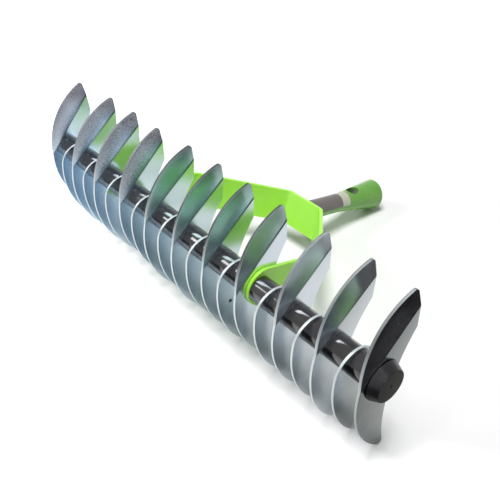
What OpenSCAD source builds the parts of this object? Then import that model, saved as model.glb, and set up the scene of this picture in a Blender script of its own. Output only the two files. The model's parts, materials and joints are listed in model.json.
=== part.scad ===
/* [Blade stack] */
// Long blades on each side of the middle one
long_each_side = 5; // [3:1:5]
// Long blades from the middle one to each arm of the bracket
blades_to_arm = 2; // [1:1:2]
// Length of each spacer tube
spacer_l = 17; // [12:0.5:22]
// Outer diameter of the spacer tubes
spacer_d = 20.5; // [19:0.5:23]
// Lean of the whole stack when the head lies on the ground
stack_lean = -2.2; // [-4:0.1:2]

/* [Axle] */
// Diameter of the axle rod
rod_d = 16; // [12:0.5:16.5]
// Radial clearance of the blades and spacers on the rod
stack_fit = 0.1; // [0.05:0.05:0.2]
// How far the rod reaches into each end cap
rod_end = 4.5; // [3:0.5:5]
// Diameter of an end cap near the last blade
cap_d = 30; // [27:0.5:34]
// Clearance of an end cap's foot from the bend of the last blade
cap_relief = 0.2; // [0.1:0.1:0.5]
// Diameter of an end cap at its outer face
cap_face_d = 24; // [20:0.5:26]
// Height of an end cap
cap_h = 7.5; // [7:0.5:12]
// Bevel round the outer face of an end cap
cap_bevel = 0.7; // [0.3:0.1:1]
// Diameter of the turning mark in the middle of an end cap
centre_mark_d = 2.4; // [1.5:0.1:3]

/* [Blade outline] */
// Thickness of the blade sheet
blade_t = 2; // [1.5:0.1:3]
// Reach of the round front edge ahead of the axle
front_reach = 21; // [19:0.5:24]
// Drop of the foremost point of the front edge below the axle
front_drop = 13.5; // [11:0.5:16]
// Radius of the round front edge
front_r = 73.5; // [68:0.5:80]
// Distance of the hollow rear edge behind the axle, at the axle's height
rear_gap = 14.5; // [13:0.5:17]
// Lean of the rear edge at the axle's height
rear_lean = 21.6; // [19:0.1:24]
// Radius of the hollow rear edge
rear_r = 114; // [102:0.5:126]
// Distance of the straight back of an upper tine behind the axle
back_y = 29.5; // [27:0.5:32]
// Rounding of the point of an upper tine
upper_tip_r = 2; // [1:0.5:3]
// Rounding of the point of a lower tine
lower_tip_r = 3; // [2:0.5:4]

/* [Long blade bend] */
// Distance of the bend line from the axle
bend_line_d = 14; // [13.5:0.1:16]
// Direction of the bend line above the ground
bend_line_angle = 40.5; // [36:0.5:44]
// Angle by which the front of an upper tine is bent aside
bend_angle = 21.5; // [10:0.5:25]
// Inner radius of the bend
bend_inner_r = 1; // [0.5:0.5:2]

/* [Short blade top] */
// Radius of the round top of a short blade
short_top_r = 18; // [16.5:0.5:20]
// Drop of the centre of the round top below the axle
short_top_drop = 5.5; // [4.5:0.5:6.5]
// Fillet between the round top and the hollow rear edge
short_neck_r = 6; // [3:0.5:8]

/* [Bracket] */
// Width of the flat bar
bar_w = 31; // [28:0.5:34]
// Thickness of the flat bar
bar_t = 3; // [2:0.5:5]
// Side clearance between the bracket and the blade stack
bar_side_gap = 0.1; // [0.05:0.05:0.3]
// Radial running clearance of the bracket on the rod
bracket_fit = 0.05; // [0.02:0.01:0.1]
// Distance of the rounding's centre behind the axle at each end of the bar
bar_end_shift = 5; // [2:0.5:7]
// Length of each straight arm from the axle to its corner
arm_l = 61.5; // [58:0.5:75]
// Distance of the cross plate from the axle
cross_u = 124.4; // [115:0.1:140]
// Width of the cross plate between its corners
cross_w = 39; // [32:0.5:48]
// Inner radius of the corners of the bar
bar_bend_r = 5; // [3:0.5:8]

/* [Handle socket] */
// Length of the socket from the cross plate to its mouth
socket_l = 95; // [85:0.5:110]
// Length of the straight neck
neck_l = 45; // [40:0.5:48]
// Outer diameter of the neck
neck_d = 17; // [15:0.5:20]
// Outer diameter of the mouth
mouth_d = 28.4; // [25:0.1:32]
// Wall of the socket
socket_wall = 1.8; // [1.2:0.1:2.5]
// Bevel round the mouth
mouth_bevel = 0.6; // [0.3:0.1:0.8]
// Depth of the bevel inside the welded end of the neck
neck_bevel = 0.8; // [0.4:0.1:1]
// Length of the bevel inside the welded end of the neck
neck_bevel_l = 1.6; // [1.2:0.1:3]
// Height of the socket above the middle of the cross plate
socket_rise = 3; // [0:0.5:4]
// Upward tilt of the socket against the arms
socket_tilt = 3; // [0:0.5:5]
// Diameter of the pin hole in the top of the socket
pin_hole_d = 12; // [6:0.5:14]
// Distance of the pin hole from the cross plate
pin_hole_s = 63; // [58:0.5:72]
// Leg of the weld bead round the neck
weld_leg = 3.5; // [2:0.5:4]

/* [Label] */
// Distance of the label from the cross plate
label_s = 9; // [8:0.5:12]
// Length of the label along the socket
label_l = 44; // [30:0.5:45]
// Angle that the label covers round the socket
label_angle = 125; // [60:5:150]
// Angle from the top of the socket to the middle of the label
label_side = 25; // [0:5:45]
// Thickness of the label
label_t = 0.2; // [0.1:0.1:0.4]

/* [Hidden] */
$fn = 96;

// Small turn of each long blade on the rod, from the far end to the near end
long_turns = [8, -1.5, -1.5, 2.5, -2.5, -2.5, 0, 2.5, -0.5, -3, 2];

long_count = 2 * long_each_side + 1;
half_steps = 2 * long_each_side;
spacer_count = 2 * half_steps;
pitch = spacer_l + blade_t;
bar_space = bar_t + 2 * bar_side_gap;
hole_r = rod_d / 2 + stack_fit;
cut = 1;

// Small overlap that joins the straight stretches of the bar to its corners
seam = 0.01;

function two(n) = n < 10 ? str("0", n) : str(n);
function long_turn(i) = long_turns[i + floor((len(long_turns) - long_count) / 2)];
function long_name(i) = str("long_blade_", two(i + 1));
function short_name(i) = str("short_blade_", two(i + 1));
function spacer_name(i) = str("spacer_", two(i + 1));

// Place along the rod of the blade that is n half steps from the middle
function blade_x(n) = n * pitch + sign(n) * (abs(n) > 2 * blades_to_arm ? bar_space : 0);
// Inner end of spacer n, counted outward from the middle blade
function spacer_x(n) = blade_x(n) - blade_t / 2 - spacer_l;

// Points on arcs, and the circles that round a corner between two arcs
function polar(c, r, a) = c + r * [cos(a), sin(a)];
function arc(c, r, from, to) =
    let (n = ceil(abs(to - from) * r / 180) + 4)
    [for (i = [0:n]) polar(c, r, from + (to - from) * i / n)];
function heading(from, to) = atan2(to.y - from.y, to.x - from.x);
function meet(c1, r1, c2, r2, side) =
    let (d = norm(c2 - c1), e = (c2 - c1) / d, a = (d * d + r1 * r1 - r2 * r2) / (2 * d))
    c1 + a * e + side * sqrt(r1 * r1 - a * a) * [-e.y, e.x];

// Blade outline, with y behind the axle and z above it
front_c = [front_r - front_reach, -front_drop];
rear_c = [rear_gap + rear_r * cos(rear_lean), -rear_r * sin(rear_lean)];
upper_c = [back_y - upper_tip_r,
           front_c.y + sqrt(pow(front_r - upper_tip_r, 2) - pow(back_y - upper_tip_r - front_c.x, 2))];
lower_c = meet(front_c, front_r - lower_tip_r, rear_c, rear_r + lower_tip_r, -1);
heel = [back_y, rear_c.y + sqrt(pow(rear_r, 2) - pow(rear_c.x - back_y, 2))];
front_top = heading(front_c, upper_c);
front_bottom = heading(front_c, lower_c) + 360;
rear_bottom = heading(rear_c, lower_c) + 360;
short_c = [front_c.x - sqrt(pow(front_r - short_top_r, 2) - pow(front_drop - short_top_drop, 2)),
           -short_top_drop];
short_front = heading(front_c, short_c);
neck_c = meet(short_c, short_top_r + short_neck_r, rear_c, rear_r - short_neck_r, -1);
rear_neck = heading(rear_c, neck_c);

long_points = concat(
    arc(upper_c, upper_tip_r, 0, front_top),
    arc(front_c, front_r, front_top, front_bottom),
    arc(lower_c, lower_tip_r, front_bottom, heading(lower_c, rear_c) + 360),
    arc(rear_c, rear_r, rear_bottom, heading(rear_c, heel))
);

// The bend of a long blade, in a section across its bend line: x away from the axle, y across the sheet
sheet_reach = 2 * front_r;
bend_set = (bend_inner_r + blade_t / 2) * tan(bend_angle / 2);
bend_c = [-bend_set, -blade_t / 2 - bend_inner_r];
function aside(p) =
    [p.x * cos(bend_angle) + p.y * sin(bend_angle), p.y * cos(bend_angle) - p.x * sin(bend_angle)];

// A point of the flat outline, seen along the rod once the sheet is bent
from_axle = [-sin(bend_line_angle), cos(bend_line_angle)];
function folded(p) =
    let (d = p * from_axle - bend_line_d)
    p - max(d, 0) * (1 - cos(bend_angle)) * from_axle;

// The foot of an end cap, which stays inside the bend of the last blade
cap_seat_r = bend_line_d - bend_set - cap_relief;
cap_seat_h = (cap_d / 2 - bend_line_d) * tan(bend_angle) + cap_relief;

// Corners of the bracket
arm_x = 2 * blades_to_arm * pitch + blade_t / 2 + bar_side_gap + bar_t / 2;
bar_mid_r = bar_bend_r + bar_t / 2;
slant = [arm_x - cross_w / 2, cross_u - arm_l];
cross_turn = atan2(slant.y, slant.x);
arm_turn = 90 - cross_turn;
arm_set = bar_mid_r * tan(arm_turn / 2);
cross_set = bar_mid_r * tan(cross_turn / 2);

// Radius of the socket at a distance from the cross plate
neck_r = neck_d / 2;
mouth_r = mouth_d / 2;
function socket_r(s) =
    s < neck_l ? neck_r : neck_r + (mouth_r - neck_r) * (s - neck_l) / (socket_l - neck_l);

// Rest on the ground: the lowest tines touch it, and so does the lower edge of the mouth
lean_angles = [for (i = [0:long_count - 1]) stack_lean + long_turn(i)];
axle_height = max([for (a = lean_angles) lower_tip_r - lower_c.x * sin(a) - lower_c.y * cos(a)]);
mouth_c = [cross_u + bar_t / 2, socket_rise] + socket_l * [cos(socket_tilt), sin(socket_tilt)];
mouth_low = mouth_c + mouth_r * [sin(socket_tilt), -cos(socket_tilt)];
mouth_top = mouth_c - mouth_r * [sin(socket_tilt), -cos(socket_tilt)];
rest_slope = asin(axle_height / norm(mouth_low)) + atan2(mouth_low.y, mouth_low.x);

// Middle of the outer box, from front to back
front_end = min([for (a = lean_angles) front_c.x * cos(a) - front_c.y * sin(a)]) - front_r;
back_end = mouth_top.x * cos(rest_slope) + mouth_top.y * sin(rest_slope);
box_mid_y = (front_end + back_end) / 2;

// From the middle of the axle to the ground below the middle of the rake head
module on_ground() {
    translate([0, -box_mid_y, axle_height]) children();
}

// A flat outline (y behind, z up) made into sheet of thickness t, across the rod
module across_rod() {
    rotate([90, 0, 90]) children();
}

module rod_hole(r, l) {
    rotate([0, 90, 0]) cylinder(h = l, r = r, center = true);
}

module axle_rod() {
    half = blade_x(half_steps) + blade_t / 2 + rod_end;
    color("dimgray") on_ground() rotate([0, 90, 0]) cylinder(h = 2 * half, d = rod_d, center = true);
}

// A turned cap with a blind hole for the rod's end and a centre mark in its face
module end_cap() {
    flank = (cap_d - cap_face_d) / 2 / (cap_h - cap_seat_h);
    color("#1d1d22")
    difference() {
        rotate_extrude() polygon([
            [0, 0],
            [cap_seat_r, 0],
            [cap_d / 2, cap_seat_h],
            [cap_face_d / 2 + flank * cap_bevel, cap_h - cap_bevel],
            [cap_face_d / 2 - cap_bevel, cap_h],
            [0, cap_h]
        ]);
        translate([0, 0, -cut]) cylinder(h = rod_end + cut, r = hole_r);
        translate([0, 0, cap_h - centre_mark_d / 2])
            cylinder(h = centre_mark_d / 2 + 0.01, d1 = 0, d2 = centre_mark_d + 0.02);
    }
}

module end_cap_at(side) {
    on_ground()
        rotate([0, 0, side > 0 ? 0 : 180])
        translate([blade_x(half_steps) + blade_t / 2, 0, 0])
        rotate([0, 90, 0])
        end_cap();
}

module spacer(i) {
    n = i < half_steps ? half_steps - i : i - half_steps + 1;
    side = i < half_steps ? -1 : 1;
    color("#18181c")
    on_ground()
    translate([side * (spacer_x(n) + spacer_l / 2), 0, 0])
    difference() {
        rotate([0, 90, 0]) cylinder(h = spacer_l, d = spacer_d, center = true);
        rod_hole(hole_r, spacer_l + 2 * cut);
    }
}

module short_outline() {
    polygon(concat(
        arc(short_c, short_top_r, short_front, heading(short_c, neck_c)),
        arc(neck_c, short_neck_r, heading(neck_c, short_c), rear_neck),
        arc(rear_c, rear_r, rear_neck, rear_bottom),
        arc(lower_c, lower_tip_r, heading(lower_c, rear_c), front_bottom - 360),
        arc(front_c, front_r, front_bottom, short_front)
    ));
}

// Sheet bent along the line, before the outline is cut
module bent_sheet() {
    translate([0, bend_line_d, 0])
        across_rod()
        linear_extrude(height = sheet_reach, center = true)
        polygon(concat(
            [[-sheet_reach, -blade_t / 2], [-sheet_reach, blade_t / 2]],
            arc(bend_c, bend_inner_r + blade_t, 90, 90 - bend_angle),
            [aside([sheet_reach, blade_t / 2]), aside([sheet_reach, -blade_t / 2])],
            arc(bend_c, bend_inner_r, 90 - bend_angle, 90)
        ));
}

module long_blade(i) {
    n = 2 * i - half_steps;
    color("#9fb0b4")
    on_ground()
    translate([blade_x(n), 0, 0])
    rotate([stack_lean + long_turn(i), 0, 0])
    difference() {
        across_rod() intersection() {
            rotate([0, 0, bend_line_angle]) bent_sheet();
            linear_extrude(height = sheet_reach, center = true) polygon([for (p = long_points) folded(p)]);
        }
        rod_hole(hole_r, blade_t + 2 * cut);
    }
}

module short_blade(i) {
    n = 2 * i + 1 - half_steps;
    color("#b4c0c4")
    on_ground()
    translate([blade_x(n), 0, 0])
    rotate([stack_lean, 0, 0])
    difference() {
        across_rod() linear_extrude(height = blade_t, center = true) short_outline();
        rod_hole(hole_r, blade_t + 2 * cut);
    }
}

// The bracket's own frame: y along the arms, away from the axle
module in_bracket() {
    on_ground() rotate([-rest_slope, 0, 0]) children();
}

module bar_leg(l) {
    translate([-bar_t / 2, -seam, -bar_w / 2]) cube([bar_t, l + 2 * seam, bar_w]);
}

// A corner of the bar that turns left by an angle, with what follows it
module bar_corner(angle) {
    translate([-bar_mid_r, 0, 0]) {
        rotate_extrude(angle = angle) translate([bar_bend_r, -bar_w / 2]) square([bar_t, bar_w]);
        rotate([0, 0, angle]) translate([bar_mid_r, 0, 0]) children();
    }
}

// One arm, its slanted leg and half of the cross plate
module half_bracket() {
    straight = arm_l - arm_set - bar_end_shift;
    slanted = norm(slant) - arm_set - cross_set;
    translate([arm_x, bar_end_shift, 0]) {
        rotate([0, 90, 0]) cylinder(h = bar_t, d = bar_w, center = true);
        bar_leg(straight);
        translate([0, straight, 0]) bar_corner(arm_turn) {
            bar_leg(slanted);
            translate([0, slanted, 0]) bar_corner(cross_turn) bar_leg(cross_w / 2 - cross_set);
        }
    }
}

module bracket() {
    color("#8fe63a")
    in_bracket()
    difference() {
        union() {
            half_bracket();
            mirror([1, 0, 0]) half_bracket();
        }
        rod_hole(rod_d / 2 + bracket_fit, 2 * arm_x + 2 * bar_t);
    }
}

// The socket's own frame: z along its axis from the back of the cross plate
module along_socket() {
    in_bracket()
    difference() {
        translate([0, cross_u + bar_t / 2, socket_rise])
            rotate([socket_tilt, 0, 0])
            rotate([-90, 0, 0])
            children();
        translate([-bar_w, cross_u + bar_t / 2 - bar_w, -bar_w]) cube([2 * bar_w, bar_w, 2 * bar_w]);
    }
}

module handle_socket() {
    inner = socket_wall / cos(atan2(mouth_r - neck_r, socket_l - neck_l));
    color("#7cc63c")
    along_socket()
    difference() {
        rotate_extrude() polygon([
            [neck_r - socket_wall + neck_bevel, -neck_d / 4],
            [neck_r, -neck_d / 4],
            [neck_r, neck_l],
            [socket_r(socket_l - mouth_bevel), socket_l - mouth_bevel],
            [mouth_r - mouth_bevel, socket_l],
            [mouth_r - inner, socket_l],
            [neck_r - socket_wall, neck_l - (inner - socket_wall)],
            [neck_r - socket_wall, neck_bevel_l],
            [neck_r - socket_wall + neck_bevel, 0]
        ]);
        translate([0, 0, pin_hole_s]) rotate([90, 0, 0]) cylinder(h = mouth_d, d = pin_hole_d);
    }
}

module socket_weld() {
    color("#6fb835")
    along_socket()
    rotate_extrude() polygon([
        [neck_r, -neck_d / 4],
        [neck_r + weld_leg, -neck_d / 4],
        [neck_r + weld_leg, 0],
        [neck_r + weld_leg * 0.45, weld_leg * 0.45],
        [neck_r, weld_leg]
    ]);
}

module socket_label() {
    end = label_s + label_l;
    color("#b9b4b4")
    along_socket()
    rotate([0, 0, -90 + label_side - label_angle / 2])
    rotate_extrude(angle = label_angle) polygon([
        [neck_r, label_s],
        [neck_r + label_t, label_s],
        [neck_r + label_t, neck_l],
        [socket_r(end) + label_t, end],
        [socket_r(end), end],
        [neck_r, neck_l]
    ]);
}

axle_rod();
end_cap_at(1);  // end_cap_near
end_cap_at(-1);  // end_cap_far
for (i = [0:spacer_count - 1]) spacer(i);
for (i = [0:long_count - 1]) long_blade(i);
for (i = [0:long_count - 2]) short_blade(i);
bracket();
handle_socket();
socket_weld();
socket_label();
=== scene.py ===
import json
from math import cos, pi, radians, sin

import bpy
from mathutils import Matrix, Vector


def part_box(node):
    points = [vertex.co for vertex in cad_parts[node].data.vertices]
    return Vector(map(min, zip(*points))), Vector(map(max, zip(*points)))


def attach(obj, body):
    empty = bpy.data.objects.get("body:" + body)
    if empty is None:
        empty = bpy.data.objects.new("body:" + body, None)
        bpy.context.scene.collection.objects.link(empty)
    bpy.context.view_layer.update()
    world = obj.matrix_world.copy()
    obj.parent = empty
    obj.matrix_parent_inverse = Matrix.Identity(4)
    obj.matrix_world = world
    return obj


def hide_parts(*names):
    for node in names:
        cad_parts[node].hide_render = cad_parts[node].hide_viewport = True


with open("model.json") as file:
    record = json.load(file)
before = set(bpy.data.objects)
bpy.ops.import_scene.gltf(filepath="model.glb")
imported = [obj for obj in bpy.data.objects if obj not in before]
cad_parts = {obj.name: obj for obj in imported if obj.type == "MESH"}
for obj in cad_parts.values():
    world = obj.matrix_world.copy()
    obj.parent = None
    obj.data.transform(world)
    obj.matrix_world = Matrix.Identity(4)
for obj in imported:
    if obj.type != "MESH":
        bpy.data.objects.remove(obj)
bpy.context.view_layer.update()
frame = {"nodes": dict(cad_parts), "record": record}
nodes = frame["nodes"]

# The axle rod: plain round steel bar through every cap, spacer and blade. They hide nearly all of it, so its own
# solid stays and gets a turned, lightly oiled steel.
axle_low, axle_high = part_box("axle_rod")
axle = (axle_low + axle_high) / 2
rod_r = (axle_high.z - axle_low.z) / 2
steel_dark = (0.24, 0.25, 0.26, 1)
steel_light = (0.36, 0.37, 0.38, 1)


def bare_material(name):
    """A material with nothing but its output, and the piece's own coordinates to draw on."""
    material = bpy.data.materials.new(name)
    material.use_nodes = True
    tree = material.node_tree
    tree.nodes.clear()
    out = tree.nodes.new("ShaderNodeOutputMaterial")
    place = tree.nodes.new("ShaderNodeTexCoord")
    return material, tree, out.inputs[0], place.outputs["Object"]


def new_material(name):
    """A material with its surface shader, and the piece's own coordinates."""
    material, tree, out, where = bare_material(name)
    surface = tree.nodes.new("ShaderNodeBsdfPrincipled")
    tree.links.new(surface.outputs[0], out)
    return material, tree, surface, where


def feed(tree, socket, value):
    """Links an output to a socket, or writes a plain value in it."""
    if isinstance(value, bpy.types.NodeSocket):
        tree.links.new(value, socket)
    else:
        socket.default_value = value


def fill(tree, node, values):
    """Feeds several inputs of a node, each by its name."""
    for title, value in values.items():
        feed(tree, node.inputs[title], value)


def arithmetic(tree, kind, a, b=0.0, c=0.0):
    """One step of arithmetic on values or outputs."""
    node = tree.nodes.new("ShaderNodeMath")
    node.operation = kind
    for socket, value in zip(node.inputs, (a, b, c)):
        feed(tree, socket, value)
    return node.outputs[0]


def product(tree, first, *others):
    """Masks, multiplied one after the other."""
    for other in others:
        first = arithmetic(tree, "MULTIPLY", first, other)
    return first


def noise(tree, where, scale, detail=3.0, rough=0.55, stretch=(1, 1, 1)):
    """Cloudy grey noise, at a scale in waves per metre."""
    spread = tree.nodes.new("ShaderNodeMapping")
    fill(tree, spread, {"Vector": where, "Scale": stretch})
    cloud = tree.nodes.new("ShaderNodeTexNoise")
    fill(tree, cloud, {"Vector": spread.outputs[0], "Scale": scale, "Detail": detail, "Roughness": rough})
    return cloud.outputs[0]


def span(tree, value, low, high, to_low=0.0, to_high=1.0):
    """Stretches one range of a value over another."""
    node = tree.nodes.new("ShaderNodeMapRange")
    for socket, number in zip(node.inputs, (value, low, high, to_low, to_high)):
        feed(tree, socket, number)
    return node.outputs[0]


def blend_colours(tree, share, first, second, kind="MIX"):
    """The second colour over the first one, by a share."""
    node = tree.nodes.new("ShaderNodeMix")
    node.data_type = "RGBA"
    node.blend_type = kind
    feed(tree, node.inputs[0], share)
    feed(tree, node.inputs[6], first)
    feed(tree, node.inputs[7], second)
    return node.outputs[2]


def relief(tree, surface, height, depth, strength=1.0):
    """Bump of a real depth in metres."""
    node = tree.nodes.new("ShaderNodeBump")
    fill(tree, node, {"Height": height, "Distance": depth, "Strength": strength})
    tree.links.new(node.outputs[0], surface.inputs["Normal"])


def effect(name, inputs, outputs):
    """An empty node group, with its named inputs and outputs, for an effect that several materials share."""
    group = bpy.data.node_groups.new(name, "ShaderNodeTree")
    for title, kind in inputs.items():
        group.interface.new_socket(title, in_out="INPUT", socket_type="NodeSocket" + kind)
    for title, kind in outputs.items():
        group.interface.new_socket(title, in_out="OUTPUT", socket_type="NodeSocket" + kind)
    return group, group.nodes.new("NodeGroupInput").outputs, group.nodes.new("NodeGroupOutput").inputs


def use(tree, group, **values):
    """Places an effect in a material with its own values, and gives its outputs."""
    node = tree.nodes.new("ShaderNodeGroup")
    node.node_tree = group
    fill(tree, node, values)
    return node.outputs


def clouded_tone():
    """Two tones mixed by soft clouds, as any rolled, plated or sprayed surface has."""
    group, given, gives = effect("clouded_tone",
                                 {"Place": "Vector", "Scale": "Float", "First": "Color", "Second": "Color"},
                                 {"Tone": "Color", "Cloud": "Float"})
    cloud = span(group, noise(group, given["Place"], given["Scale"], detail=4, rough=0.6), 0.32, 0.68)
    feed(group, gives["Cloud"], cloud)
    feed(group, gives["Tone"], blend_colours(group, cloud, given["First"], given["Second"]))
    return group


def dust_and_specks():
    """Handling dust in drifts, and a few dark or pale specks: each as a mask."""
    group, given, gives = effect("dust_and_specks", {"Place": "Vector", "Specks": "Float"},
                                 {"Dust": "Float", "Specks": "Float"})
    drift = noise(group, given["Place"], 45, detail=4, rough=0.6, stretch=(0.5, 1, 1))
    grain = noise(group, given["Place"], 320, detail=5, rough=0.7)
    feed(group, gives["Dust"], product(group, span(group, drift, 0.5, 0.8), grain))

    rarest_grit = 0.82
    speck_rim = 0.02
    grit = noise(group, given["Place"], 620, detail=1)
    limit = arithmetic(group, "SUBTRACT", rarest_grit, given["Specks"])
    feed(group, gives["Specks"], span(group, grit, limit, arithmetic(group, "ADD", limit, speck_rim)))
    return group


tones = clouded_tone()
marks = dust_and_specks()


def dress(piece, *materials):
    """Gives a piece its materials, and no other."""
    piece.data.materials.clear()
    for material in materials:
        piece.data.materials.append(material)


def turned_steel():
    """Bare steel with the fine rings that the lathe leaves round it."""
    material, tree, surface, where = new_material("turned_steel")
    rings = noise(tree, where, 900, stretch=(1, 0.02, 0.02))
    steel = use(tree, tones, Place=where, Scale=60, First=steel_dark, Second=steel_light)
    fill(tree, surface, {"Base Color": steel["Tone"], "Metallic": 1.0,
                         "Roughness": span(tree, rings, 0.3, 0.7, 0.28, 0.42)})
    relief(tree, surface, rings, depth=0.00002)
    return material


dress(nodes["axle_rod"], turned_steel())


# The end caps: round black caps, tapered outwards, that close the stack at both ends of the rod. They are turned
# from bar with a blind hole for the rod and a centre mark in the face, then painted.
cap_r = 0.015
cap_foot_r = 0.0134
cap_foot_h = 0.0006
cap_face_r = 0.012
cap_h = 0.0075
cap_round = 0.0006
rod_play = 0.0001
cap_bore_r = rod_r + rod_play
cap_bore_h = 0.0045
centre_mark_r = 0.0012
centre_mark_taper = 0.1  # the share of its width that is left at its end
level_face = 0.9  # the least z of its normal, up or down
cap_colour = (0.006, 0.006, 0.008, 1)
paint_dust = (0.10, 0.10, 0.105, 1)
paint_chip = (0.28, 0.28, 0.30, 1)


def only(piece):
    """Makes one object the only one that is selected."""
    bpy.ops.object.select_all(action="DESELECT")
    piece.select_set(True)
    bpy.context.view_layer.objects.active = piece


def pick(piece, kind, test):
    """In edit mode, selects only the faces whose middle and normal, or the edges whose middle and direction, pass
    a test."""
    bpy.ops.mesh.select_all(action="DESELECT")
    bpy.ops.object.mode_set(mode="OBJECT")
    mesh = piece.data
    if kind == "FACE":
        for face in mesh.polygons:
            face.select = test(face.center, face.normal)
    else:
        points = mesh.vertices
        for edge in mesh.edges:
            ends = [points[i].co for i in edge.vertices]
            edge.select = test((ends[0] + ends[1]) / 2, (ends[1] - ends[0]).normalized())
    bpy.ops.object.mode_set(mode="EDIT")
    bpy.ops.mesh.select_mode(type=kind)


def round_edges(piece, width, steps=3, sharp=40):
    """Rounds every sharp edge by a width, and shades the rest smooth with its large faces kept flat."""
    only(piece)
    bevel = piece.modifiers.new("round_edges", "BEVEL")
    bevel.width = width
    bevel.segments = steps
    bevel.limit_method = "ANGLE"
    bevel.angle_limit = radians(sharp)
    bpy.ops.object.modifier_apply(modifier=bevel.name)
    bpy.ops.object.shade_smooth_by_angle(angle=radians(30))
    flats = piece.modifiers.new("flats", "WEIGHTED_NORMAL")
    flats.keep_sharp = True
    bpy.ops.object.modifier_apply(modifier=flats.name)


def put_in_place(piece, matrix):
    """Moves a piece where it belongs, and leaves that place in its mesh, with its object at the origin."""
    piece.matrix_world = matrix
    only(piece)
    bpy.ops.object.transform_apply(location=True, rotation=True, scale=True)


def copied(piece, name):
    """A second piece like the first, with a mesh of its own."""
    twin = piece.copy()
    twin.data = piece.data.copy()
    twin.name = name
    twin.data.name = name
    bpy.context.collection.objects.link(twin)
    return twin


def end_cap_shape():
    """A cap with its foot at the origin and its face up the z axis."""
    bpy.ops.object.select_all(action="DESELECT")
    bpy.ops.mesh.primitive_cone_add(vertices=96, radius1=cap_r, radius2=cap_face_r, depth=cap_h - cap_foot_h,
                                    location=(0, 0, (cap_h + cap_foot_h) / 2))
    cap = bpy.context.object
    bpy.ops.object.transform_apply(location=True)
    bpy.ops.object.mode_set(mode="EDIT")
    pick(cap, "FACE", lambda middle, normal: normal.z < -level_face)
    bpy.ops.mesh.extrude_region_move(TRANSFORM_OT_translate={"value": (0, 0, -cap_foot_h)})
    bpy.ops.transform.resize(value=(cap_foot_r / cap_r, cap_foot_r / cap_r, 1))
    bpy.ops.mesh.inset(thickness=cap_foot_r - cap_bore_r)
    bpy.ops.mesh.extrude_region_move(TRANSFORM_OT_translate={"value": (0, 0, cap_bore_h)})
    pick(cap, "FACE", lambda middle, normal: normal.z > level_face)
    bpy.ops.mesh.inset(thickness=cap_face_r - centre_mark_r)
    bpy.ops.mesh.extrude_region_move(TRANSFORM_OT_translate={"value": (0, 0, -centre_mark_r)})
    bpy.ops.transform.resize(value=(centre_mark_taper, centre_mark_taper, 1))
    bpy.ops.object.mode_set(mode="OBJECT")
    round_edges(cap, cap_round, steps=4, sharp=25)
    return cap


def stain(tree, tone, colour, *masks, share=None):
    """A tone with a colour laid over it where all the masks are, in full or up to a share."""
    if share is not None:
        masks = (*masks, share)
    return blend_colours(tree, product(tree, *masks), tone, colour)


def black_paint(name, colour, rough, coat):
    """Gloss black with faint dust, a fine orange peel and small chips."""
    material, tree, surface, where = new_material(name)
    worn = use(tree, marks, Place=where, Specks=0.02)
    tone = stain(tree, colour, paint_dust, worn["Dust"], share=0.6)
    tone = stain(tree, tone, paint_chip, worn["Specks"])
    fill(tree, surface, {"Base Color": tone, "Roughness": span(tree, worn["Dust"], 0, 0.5, rough, rough + 0.2),
                         "Specular IOR Level": 0.25, "Coat Weight": coat, "Coat Roughness": 0.05})
    relief(tree, surface, noise(tree, where, 500, detail=2), depth=0.00003, strength=0.5)
    return material


cap_black = black_paint("cap_black", cap_colour, rough=0.3, coat=0.1)
cap_shape = end_cap_shape()
dress(cap_shape, cap_black)
for cap_name, side in (("end_cap_near", 1), ("end_cap_far", -1)):
    cap_low, cap_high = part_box(cap_name)
    inner_x = cap_low.x if side > 0 else cap_high.x
    cap = copied(cap_shape, cap_name + "_painted")
    put_in_place(cap, Matrix.Translation((inner_x, axle.y, axle.z)) @ Matrix.Rotation(side * pi / 2, 4, "Y"))
    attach(cap, "blade_stack")
    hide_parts(cap_name)
bpy.data.objects.remove(cap_shape)


# The spacers: short black tubes, cut from drawn tube and lacquered, that slide on the rod between the blades and
# are clamped with them. All are alike.
spacer_low, spacer_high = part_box("spacer_01")
spacer_r = (spacer_high.z - spacer_low.z) / 2
spacer_l = spacer_high.x - spacer_low.x
spacer_wall = spacer_r - rod_r - rod_play
spacer_round = 0.0004
spacer_colour = (0.006, 0.005, 0.006, 1)


def all_named(start):
    """The names of all CAD pieces that start alike, in their order."""
    return sorted(name for name in nodes if name.startswith(start))


def thicken(piece, thickness, side):
    """Gives an open shell its wall: outside it for side 1, inside it for side -1."""
    wall = piece.modifiers.new("wall", "SOLIDIFY")
    wall.thickness = thickness
    wall.offset = side
    bpy.ops.object.modifier_apply(modifier=wall.name)


def spacer_shape():
    """A spacer round the origin, along the rod."""
    bpy.ops.object.select_all(action="DESELECT")
    bpy.ops.mesh.primitive_cylinder_add(vertices=96, radius=spacer_r, depth=spacer_l, end_fill_type="NOTHING",
                                        rotation=(0, pi / 2, 0))
    tube = bpy.context.object
    bpy.ops.object.transform_apply(rotation=True)
    thicken(tube, spacer_wall, -1)
    round_edges(tube, spacer_round)
    return tube


spacer_black = black_paint("spacer_black", spacer_colour, rough=0.16, coat=0.8)
spacer = spacer_shape()
dress(spacer, spacer_black)
for name in all_named("spacer_"):
    low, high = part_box(name)
    tube = copied(spacer, name + "_tube")
    put_in_place(tube, Matrix.Translation((low + high) / 2))
    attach(tube, "blade_stack")
    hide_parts(name)
bpy.data.objects.remove(spacer)


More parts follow.
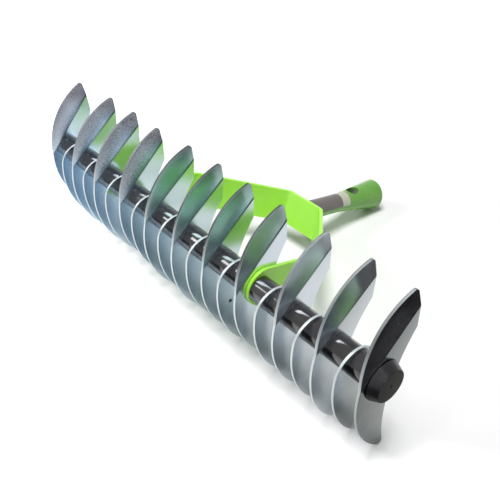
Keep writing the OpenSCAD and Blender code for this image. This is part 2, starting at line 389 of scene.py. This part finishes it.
# The short blades: straight crescents of zinc-plated sheet, with a round top that just covers the spacers. They
# are stamped, so their cut edges are slightly rounded, and duller than the rolled faces.
edge_round = 0.00025
bent_front = (0.85, 0.98)  # where the x of its normal lies
flat_face = 0.99  # the least x of its normal
cut_face = 0.5  # the most x of its normal, to either side
no_bend = -1.0  # the distance that a straight blade gets
blot_place = (0.058, -0.1077, 0.0493)
blot_core = 0.0028
blot_rim = 0.0034
blot_raggedness = 0.003
zinc_dark = (0.57, 0.65, 0.69, 1)
zinc_light = (0.65, 0.72, 0.76, 1)
# the next two are a painted reflection tint along the row
near_reflection_tint = (1.0, 0.96, 0.97, 1)
far_reflection_tint = (0.98, 1.03, 1.11, 1)
# painted dark reflection, low on the near blades
low_dark_reflection = (0.27, 0.27, 0.28, 1)
# painted greenish reflection on the bent fronts
greenish_reflection = (0.36, 0.60, 0.53, 1)
# painted dark reflection on the outer edges of the bent fronts
dark_edge_reflection = (0.105, 0.105, 0.12, 1)
spangle_grey = (0.50, 0.48, 0.57, 1)
# painted shade along the bend
bend_shade = (0.03, 0.05, 0.045, 1)
zinc_speck = (0.05, 0.05, 0.06, 1)
blot_colour = (0.03, 0.035, 0.045, 1)
cut_dark = (0.43, 0.47, 0.48, 1)
cut_light = (0.57, 0.61, 0.62, 1)
# painted shade on the upper cut edges
painted_cut_shade = (0.015, 0.017, 0.02, 1)


def axes_of(tree, where):
    """The three coordinates of a place, one by one."""
    split = tree.nodes.new("ShaderNodeSeparateXYZ")
    tree.links.new(where, split.inputs[0])
    return split.outputs


def strongest(tree, first, *others):
    """The highest of several masks."""
    for other in others:
        first = arithmetic(tree, "MAXIMUM", first, other)
    return first


def stretch_between(tree, value, start, full, fading, end):
    """A mask that rises from start to full, and falls again from fading to end."""
    return product(tree, span(tree, value, start, full), span(tree, value, end, fading))


def sheet_zinc():
    """Bright zinc plate: a soft mirror with a faint spangle and dark specks, a painted reflection tint along the
    row and a painted dark reflection low on the near blades. The bent fronts carry a painted dark reflection
    towards their outer edge at both ends of the row, and a painted greenish reflection in the middle of it; painted
    shade lies in the bend. The attribute "beyond" is the distance past the bend."""
    material, tree, surface, where = new_material("sheet_zinc")
    axes = axes_of(tree, where)
    along = axes["X"]
    height = axes["Z"]
    bend = tree.nodes.new("ShaderNodeAttribute")
    bend.attribute_name = "beyond"
    beyond = bend.outputs["Fac"]
    front = span(tree, beyond, 0, 0.0003)
    middle = stretch_between(tree, along, -0.06, -0.045, 0.05, 0.09)

    # the plate itself, with a painted reflection tint: warmer at the near end of the row and bluer at the far end
    plate = use(tree, tones, Place=where, Scale=30, First=zinc_dark, Second=zinc_light)
    reflection_tint = blend_colours(tree, span(tree, along, 0.15, -0.15), near_reflection_tint, far_reflection_tint)
    tone = blend_colours(tree, 1.0, plate["Tone"], reflection_tint, "MULTIPLY")

    # painted dark reflection in soft clouds, low on the near blades
    near = span(tree, along, 0.02, 0.12)
    low = span(tree, height, 0.08, 0.05)
    reflection_clouds = span(tree, noise(tree, where, 40, rough=0.6), 0.35, 0.65)
    tone = stain(tree, tone, low_dark_reflection, near, low, reflection_clouds, share=0.28)

    # painted greenish reflection on the fronts in the middle of the row, rising with height
    rising = span(tree, height, 0.085, 0.11, 0.4, 0.8)
    tone = stain(tree, tone, greenish_reflection, front, middle, rising)

    # painted dark reflection on the outer edges of the fronts at both ends, wide there and thin towards the middle
    wide = strongest(tree, span(tree, beyond, 0.003, 0.015, 0.15, 1), span(tree, height, 0.102, 0.118))
    thin = strongest(tree, span(tree, beyond, 0.011, 0.020), span(tree, height, 0.108, 0.122))
    outer = span(tree, middle, 0, 1, wide, thin)
    ends = strongest(tree, span(tree, along, 0.13, -0.02), span(tree, along, 0.13, 0.17))
    tone = stain(tree, tone, dark_edge_reflection, front, outer, ends, share=0.9)

    # spangle on the fronts at the far end
    far = span(tree, along, -0.05, -0.07)
    inner = span(tree, beyond, 0.001, 0.006)
    spangle = span(tree, noise(tree, where, 850, rough=0.85), 0.40, 0.60)
    patchy = product(tree, far, inner, spangle)
    tone = stain(tree, tone, spangle_grey, patchy, share=0.42)

    # painted shade along the bend of all but the nearest blades
    line = span(tree, arithmetic(tree, "ABSOLUTE", beyond), 0.0012, 0.0004)
    high = span(tree, height, 0.075, 0.11)
    not_near = span(tree, along, 0.13, 0.10)
    tone = stain(tree, tone, bend_shade, line, high, not_near, share=0.85)

    # specks, and one dark blot
    worn = use(tree, marks, Place=where, Specks=0.03)
    tone = stain(tree, tone, zinc_speck, worn["Specks"])
    spot = tree.nodes.new("ShaderNodeVectorMath")
    spot.operation = "DISTANCE"
    feed(tree, spot.inputs[0], where)
    feed(tree, spot.inputs[1], blot_place)
    ragged = arithmetic(tree, "MULTIPLY_ADD", noise(tree, where, 500), blot_raggedness, spot.outputs["Value"])
    tone = stain(tree, tone, blot_colour, span(tree, ragged, blot_rim, blot_core))

    rough = arithmetic(tree, "ADD", span(tree, plate["Cloud"], 0, 1, 0.18, 0.23), product(tree, patchy, 0.25))
    fill(tree, surface, {"Base Color": tone, "Metallic": 1.0, "Roughness": rough})
    relief(tree, surface, noise(tree, where, 160, detail=2, rough=0.5), depth=0.00002, strength=0.15)
    return material


def cut_zinc(name, painted_dimming):
    """The stamped edges: duller, with fine lines across the sheet, and with painted shade by a share on the upper
    tines, most of all in the middle of the row."""
    material, tree, surface, where = new_material(name)
    axes = axes_of(tree, where)
    lines = noise(tree, where, 1400, detail=2, rough=0.6, stretch=(0.08, 1, 1))
    tone = blend_colours(tree, span(tree, lines, 0.3, 0.7), cut_dark, cut_light)
    upper = span(tree, axes["Z"], 0.070, 0.095, 0.0, painted_dimming)
    middle = stretch_between(tree, axes["X"], -0.07, -0.05, 0.08, 0.11)
    tone = stain(tree, tone, painted_cut_shade, upper, span(tree, middle, 0, 1, 0.75, 1))
    fill(tree, surface, {"Base Color": tone, "Metallic": 0.6, "Specular IOR Level": 0.2,
                         "Roughness": span(tree, lines, 0.3, 0.7, 0.35, 0.55)})
    relief(tree, surface, lines, depth=0.00004, strength=0.6)
    return material


def start_edit(piece):
    """Opens a piece in edit mode with all of it selected."""
    only(piece)
    bpy.ops.object.mode_set(mode="EDIT")
    bpy.ops.mesh.select_all(action="SELECT")


def cleaned_copy(node_name, name):
    """A piece in the shape of a solid, with its loose triangles joined into whole faces."""
    piece = bpy.data.objects.new(name, nodes[node_name].data.copy())
    piece.data.name = name
    bpy.context.collection.objects.link(piece)
    start_edit(piece)
    bpy.ops.mesh.remove_doubles(threshold=0.000005)
    bpy.ops.mesh.customdata_custom_splitnormals_clear()
    bpy.ops.mesh.dissolve_limited(angle_limit=radians(0.5), use_dissolve_boundaries=False)
    bpy.ops.object.mode_set(mode="OBJECT")
    return piece


def mark_bend(blade):
    """Writes each point's distance past the crease, across it, as an attribute. A straight blade has no crease,
    and one value all over."""
    facing = [face for face in blade.data.polygons if face.normal.x > 0]
    bent = [face for face in facing if bent_front[0] < face.normal.x < bent_front[1]]
    flat = max((face for face in facing if face.normal.x > flat_face), key=lambda face: face.area)
    past = blade.data.attributes.new("beyond", "FLOAT", "POINT")
    if not bent:
        past.data.foreach_set("value", [no_bend] * len(blade.data.vertices))
        return
    bent = max(bent, key=lambda face: face.area)
    across = Vector((0, bent.normal.y, bent.normal.z))
    level = (bent.normal.dot(bent.center) - bent.normal.x * flat.center.x) / across.length
    across.normalize()
    side = 1 if across.dot(bent.center) > level else -1
    past.data.foreach_set("value", [side * (across.dot(point.co) - level) for point in blade.data.vertices])


def stamped_blade(node_name, cut):
    """A blade with rounded edges, and with the cut all round in the second material."""
    blade = cleaned_copy(node_name, node_name + "_stamped")
    dress(blade, zinc_face, cut)
    for face in blade.data.polygons:
        face.material_index = 1 if abs(face.normal.x) < cut_face else 0
    round_edges(blade, edge_round, steps=2, sharp=50)
    mark_bend(blade)
    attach(blade, "blade_stack")
    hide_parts(node_name)


zinc_face = sheet_zinc()
short_cut = cut_zinc("short_cut", painted_dimming=0.0)
for name in all_named("short_blade_"):
    stamped_blade(name, short_cut)


# The long blades: crescents of the same sheet with a tine above and below. The front of the upper tine is bent
# aside along a straight line, which stiffens it, and each blade sits a little turned on the rod.
long_cut = cut_zinc("long_cut", painted_dimming=0.88)
for name in all_named("long_blade_"):
    stamped_blade(name, long_cut)


# The bracket: one flat steel bar, bent four times to a U with slanted shoulders, with a round end and a bore on
# each arm that turn on the rod. It is powder coated in gloss lime green.
bar_t = 0.003
bar_round = 0.0004
lime = (0.38, 0.88, 0.03, 1)
lime_deep = (0.33, 0.80, 0.03, 1)
coat_dust = (0.62, 0.75, 0.42, 1)
coat_speck = (0.10, 0.22, 0.03, 1)


def lime_coat(name, colour, deep, rough):
    """Powder coat: bright, glossy and slightly pebbled, deeper where it is thin, with dust and a few specks."""
    material, tree, surface, where = new_material(name)
    coat = use(tree, tones, Place=where, Scale=26, First=colour, Second=deep)
    worn = use(tree, marks, Place=where, Specks=0.02)
    tone = stain(tree, coat["Tone"], coat_dust, worn["Dust"], share=0.2)
    tone = stain(tree, tone, coat_speck, worn["Specks"])
    fill(tree, surface, {"Base Color": tone, "Roughness": span(tree, coat["Cloud"], 0, 1, rough, rough + 0.08),
                         "Coat Weight": 0.4, "Coat Roughness": 0.06})
    relief(tree, surface, noise(tree, where, 420, detail=2, rough=0.5), depth=0.00006, strength=0.5)
    return material


bracket_green = lime_coat("bracket_green", lime, lime_deep, rough=0.3)
bracket = cleaned_copy("bracket", "bracket_bar")
dress(bracket, bracket_green)
round_edges(bracket, bar_round, sharp=50)
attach(bracket, "handle_bracket")
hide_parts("bracket")


# The handle socket: a thin steel tube, flared to its mouth, with a large pin hole in the top. It butts against
# the back of the cross plate and is coated with the bracket; its lime is drawn darker, as painted shade.
neck_r = 0.0085
neck_l = 0.045
neck_blend = 0.005
mouth_r = 0.0142
socket_l = 0.0948  # 0.2 mm less than the solid's, so that the rounder mouth stays in its box
socket_wall = 0.0018
socket_round = 0.00035
socket_seat = 0.001
socket_tilt = radians(3)
pin_hole_r = 0.006
pin_hole_from_plate = 0.063
drill_stop = 0.002  # how far above the socket's axis the drill ends
ring_play = 0.0001
ring_rise = 0.1  # the most that an edge of a ring rises, for its length
# a darker copy of the bracket's lime: painted shade on the socket and its weld
shaded_socket_lime = (0.105, 0.34, 0.018, 1)
shaded_socket_deep = (0.08, 0.28, 0.014, 1)
plate_middle = 0.1244
plate_rise = 0.003
row_axis = Vector((1, 0, 0))
handle_bore = next(mount for mount in frame["record"]["mounts"] if mount["name"] == "handle_bore")
socket_axis = Vector(handle_bore["axis"]).normalized()
socket_up = row_axis.cross(socket_axis).normalized()
arm_axis = Matrix.Rotation(-socket_tilt, 3, "X") @ socket_axis
arm_up = row_axis.cross(arm_axis)
plate_point = axle + arm_axis * (plate_middle + bar_t / 2) + arm_up * plate_rise
plate_point.x = 0
socket_frame = Matrix((row_axis, -socket_up, socket_axis)).transposed().to_4x4()
socket_frame.translation = plate_point


def put_on_plate(piece):
    """Places a piece that was made along z in the socket's frame, and cuts off what is past the cross plate."""
    put_in_place(piece, socket_frame)
    start_edit(piece)
    bpy.ops.mesh.bisect(plane_co=plate_point, plane_no=-arm_axis, clear_outer=True, use_fill=True)
    bpy.ops.object.mode_set(mode="OBJECT")


def ring_at(level):
    """A test for the edges that run round the tube at a level."""
    return lambda middle, way: abs(middle.z - level) < ring_play and abs(way.z) < ring_rise


def socket_shape():
    """The tube with its flare, wall and pin hole, cut to the plate."""
    bpy.ops.object.select_all(action="DESELECT")
    bpy.ops.mesh.primitive_cylinder_add(vertices=128, radius=neck_r, depth=neck_l + socket_seat,
                                        end_fill_type="NOTHING", location=(0, 0, (neck_l - socket_seat) / 2))
    tube = bpy.context.object
    tube.name = "handle_socket_tube"
    bpy.ops.object.transform_apply(location=True)
    bpy.ops.object.mode_set(mode="EDIT")
    pick(tube, "EDGE", ring_at(neck_l))
    bpy.ops.mesh.extrude_region_move(TRANSFORM_OT_translate={"value": (0, 0, socket_l - neck_l)})
    bpy.ops.transform.resize(value=(mouth_r / neck_r, mouth_r / neck_r, 1))
    pick(tube, "EDGE", ring_at(neck_l))
    bpy.ops.mesh.bevel(offset=neck_blend, segments=6)
    bpy.ops.object.mode_set(mode="OBJECT")
    thicken(tube, socket_wall, -1)

    bpy.ops.object.select_all(action="DESELECT")
    bpy.ops.mesh.primitive_cylinder_add(vertices=64, radius=pin_hole_r, depth=mouth_r, rotation=(pi / 2, 0, 0),
                                        location=(0, -mouth_r / 2 - drill_stop, pin_hole_from_plate))
    drill = bpy.context.object
    only(tube)
    hole = tube.modifiers.new("hole", "BOOLEAN")
    hole.operation = "DIFFERENCE"
    hole.object = drill
    hole.solver = "EXACT"
    bpy.ops.object.modifier_apply(modifier=hole.name)
    bpy.data.objects.remove(drill)

    put_on_plate(tube)
    round_edges(tube, socket_round, sharp=50)
    return tube


socket_green = lime_coat("socket_green", shaded_socket_lime, shaded_socket_deep, rough=0.25)
socket = socket_shape()
dress(socket, socket_green)
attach(socket, "handle_bracket")
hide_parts("handle_socket")


# The weld: one bead of steel laid round the neck where it meets the plate, with the ripples of the pass still
# showing under the coat.
weld_leg = 0.0035
weld_squash = 0.9
ripples = 30
ripple_share = 0.07
bpy.ops.object.select_all(action="DESELECT")
bpy.ops.mesh.primitive_torus_add(major_segments=ripples * 4, minor_segments=16, major_radius=neck_r,
                                 minor_radius=weld_leg, location=(0, 0, 0))
weld = bpy.context.object
weld.name = "socket_weld_bead"
start_edit(weld)
bpy.ops.transform.resize(value=(1, 1, weld_squash))
bpy.ops.object.mode_set(mode="OBJECT")
for point in weld.data.vertices:
    around = Vector((point.co.x, point.co.y, 0)).normalized()
    core = around * neck_r
    point.co = core + (point.co - core) * (1 + ripple_share * cos(around.angle(row_axis) * ripples))
put_on_plate(weld)
bpy.ops.object.shade_smooth_by_angle(angle=radians(50))
# the socket's darker lime, as painted shade
dress(weld, socket_green)
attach(weld, "handle_bracket")
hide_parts("socket_weld")


# The label: a thin plastic sticker wrapped over the upper front of the neck, grey with a pale band at the end by
# the pin hole. It carries nothing but its own colours.
label_start = 0.009
label_end = 0.053
label_half = radians(62.5)
label_side = radians(25)
label_t = 0.0002
label_gap = 0.00012
label_dark = (0.10, 0.09, 0.085, 1)
label_light = (0.17, 0.15, 0.145, 1)
band_start = 0.78
band_full = 0.80
band_colour = (0.48, 0.49, 0.41, 1)
flare_slope = (mouth_r - neck_r) / (socket_l - neck_l)
bpy.ops.object.select_all(action="DESELECT")
bpy.ops.mesh.primitive_grid_add(x_subdivisions=40, y_subdivisions=8, size=1)
label = bpy.context.object
label.name = "socket_label_sticker"
for point in label.data.vertices:
    turn = label_side + point.co.x * 2 * label_half
    along = label_start + (point.co.y + 0.5) * (label_end - label_start)
    radius = neck_r + max(along - neck_l, 0) * flare_slope + label_gap
    point.co = Vector((radius * sin(turn), -radius * cos(turn), along))
start_edit(label)
bpy.ops.mesh.normals_make_consistent(inside=False)
bpy.ops.object.mode_set(mode="OBJECT")
thicken(label, label_t, 1)
bpy.ops.object.shade_smooth_by_angle(angle=radians(40))
put_in_place(label, socket_frame)


def label_print():
    """Plain grey with a pale band across it, on the sticker's own map."""
    material, tree, surface, where = new_material("label_print")
    along_neck = axes_of(tree, tree.nodes.new("ShaderNodeTexCoord").outputs["UV"])["Y"]
    fibre = noise(tree, where, 900, detail=4, rough=0.7)
    grey = blend_colours(tree, fibre, label_dark, label_light)
    tone = stain(tree, grey, band_colour, span(tree, along_neck, band_start, band_full))
    fill(tree, surface, {"Base Color": tone, "Roughness": span(tree, fibre, 0.3, 0.7, 0.35, 0.5)})
    relief(tree, surface, fibre, depth=0.00002, strength=0.4)
    return material


dress(label, label_print())
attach(label, "handle_bracket")
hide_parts("socket_label")


# The studio: a pale floor that runs on into a white surround, a soft lamp overhead and a small one at the side,
# a bench that only shiny surfaces see, and the camera where the photographer's was.
camera_place = Vector((0.3646, -0.33561, 0.39997))
camera_target = Vector((0.0410, -0.07311, 0.06892))
camera_up = Vector((0, 0.0393, 0.9992))
surround_level = 0.20
floor_size = 6
floor_drop = 0.0001
floor_colour = (0.93, 0.93, 0.93, 1)
white = (1, 1, 1, 1)
glow_shift = (-0.03, -0.057, 0)
glow_shape = (0.6, 0.95, 1)
glow_start = 0.15
glow_full = 0.24
bench_start = 0.2
bench_depth = 0.76
bench_width = 2.0
bench_rise = 0.0002
bench_turn = radians(-22)
bench_pale = (0.8, 0.79, 0.74, 1)
bench_dark = (0.02, 0.017, 0.018, 1)
bench_fade = 0.08  # a share of its depth
lamp_target = Vector((0, 0, 0.05))


def photographer():
    """The camera of the photograph, turned about its line of sight by its own upward direction."""
    lens = bpy.data.cameras.new("camera")
    lens.lens = 50
    lens.sensor_width = 36
    lens.clip_start = 0.01
    camera = bpy.data.objects.new("camera", lens)
    bpy.context.collection.objects.link(camera)
    ahead = (camera_target - camera_place).normalized()
    right = ahead.cross(camera_up).normalized()
    camera.matrix_world = Matrix((right, right.cross(ahead), -ahead)).transposed().to_4x4()
    camera.matrix_world.translation = camera_place
    bpy.context.scene.camera = camera


def soft_lamp(name, place, size, power):
    """A rectangular lamp that faces the middle of the head."""
    lamp = bpy.data.lights.new(name, "AREA")
    lamp.shape = "RECTANGLE"
    lamp.size, lamp.size_y = size
    lamp.energy = power
    holder = bpy.data.objects.new(name, lamp)
    bpy.context.collection.objects.link(holder)
    holder.location = place
    holder.rotation_euler = (lamp_target - Vector(place)).to_track_quat("-Z", "Y").to_euler()


def seen_or_mirrored(tree):
    """1 where the camera sees a thing directly, in a mirror or through glass, and 0 where it only gives light."""
    path = tree.nodes.new("ShaderNodeLightPath").outputs
    return strongest(tree, path["Is Camera Ray"], path["Is Glossy Ray"], path["Is Transmission Ray"])


def white_surround():
    """White where it is seen directly or in metal, and a plain level of light for the rest."""
    world = bpy.data.worlds.new("surround")
    bpy.context.scene.world = world
    world.use_nodes = True
    tree = world.node_tree
    tree.nodes.clear()
    glow = tree.nodes.new("ShaderNodeBackground")
    fill(tree, glow, {"Color": white, "Strength": span(tree, seen_or_mirrored(tree), 0, 1, surround_level, 1)})
    out = tree.nodes.new("ShaderNodeOutputWorld")
    tree.links.new(glow.outputs[0], out.inputs[0])


def pale_floor():
    """A matt floor that takes the shadows, and glows to full white outside an oval round the head."""
    bpy.ops.object.select_all(action="DESELECT")
    bpy.ops.mesh.primitive_plane_add(size=floor_size, location=(0, 0, -floor_drop))
    floor = bpy.context.object
    floor.name = "floor"
    material, tree, out, where = bare_material("floor_white")
    matt = tree.nodes.new("ShaderNodeBsdfDiffuse")
    feed(tree, matt.inputs["Color"], floor_colour)
    oval = tree.nodes.new("ShaderNodeMapping")
    fill(tree, oval, {"Vector": where, "Location": glow_shift, "Scale": glow_shape})
    away = tree.nodes.new("ShaderNodeVectorMath")
    away.operation = "LENGTH"
    feed(tree, away.inputs[0], oval.outputs[0])
    outside = span(tree, away.outputs["Value"], glow_start, glow_full)
    glow = tree.nodes.new("ShaderNodeEmission")
    fill(tree, glow, {"Color": white, "Strength": product(tree, seen_or_mirrored(tree), outside)})
    both = tree.nodes.new("ShaderNodeAddShader")
    tree.links.new(matt.outputs[0], both.inputs[0])
    tree.links.new(glow.outputs[0], both.inputs[1])
    tree.links.new(both.outputs[0], out)
    dress(floor, material)


def bench():
    """The bench past the near edge of the white sheet: pale where it starts, and then dark. Only shiny surfaces
    see it, so the background stays white."""
    reach = bench_start + bench_depth / 2
    middle = (reach * cos(bench_turn), reach * sin(bench_turn), bench_rise)
    bpy.ops.object.select_all(action="DESELECT")
    bpy.ops.mesh.primitive_plane_add(size=1, location=middle, rotation=(0, 0, bench_turn))
    board = bpy.context.object
    board.name = "bench"
    board.scale = (bench_depth, bench_width, 1)
    material, tree, surface, where = new_material("bench_dark")
    fade = span(tree, axes_of(tree, where)["X"], -0.5, -0.5 + bench_fade)
    fill(tree, surface, {"Base Color": blend_colours(tree, fade, bench_pale, bench_dark), "Roughness": 0.8,
                         "Specular IOR Level": 0.0})
    dress(board, material)
    board.visible_camera = False
    board.visible_diffuse = False
    board.visible_shadow = False


photographer()
white_surround()
pale_floor()
bench()
soft_lamp("overhead", place=(0.08, -0.2, 1.6), size=(0.6, 0.6), power=23)
soft_lamp("window", place=(-1.0, -0.85, 1.05), size=(0.3, 0.5), power=6.5)
bpy.context.scene.view_settings.view_transform = "Standard"
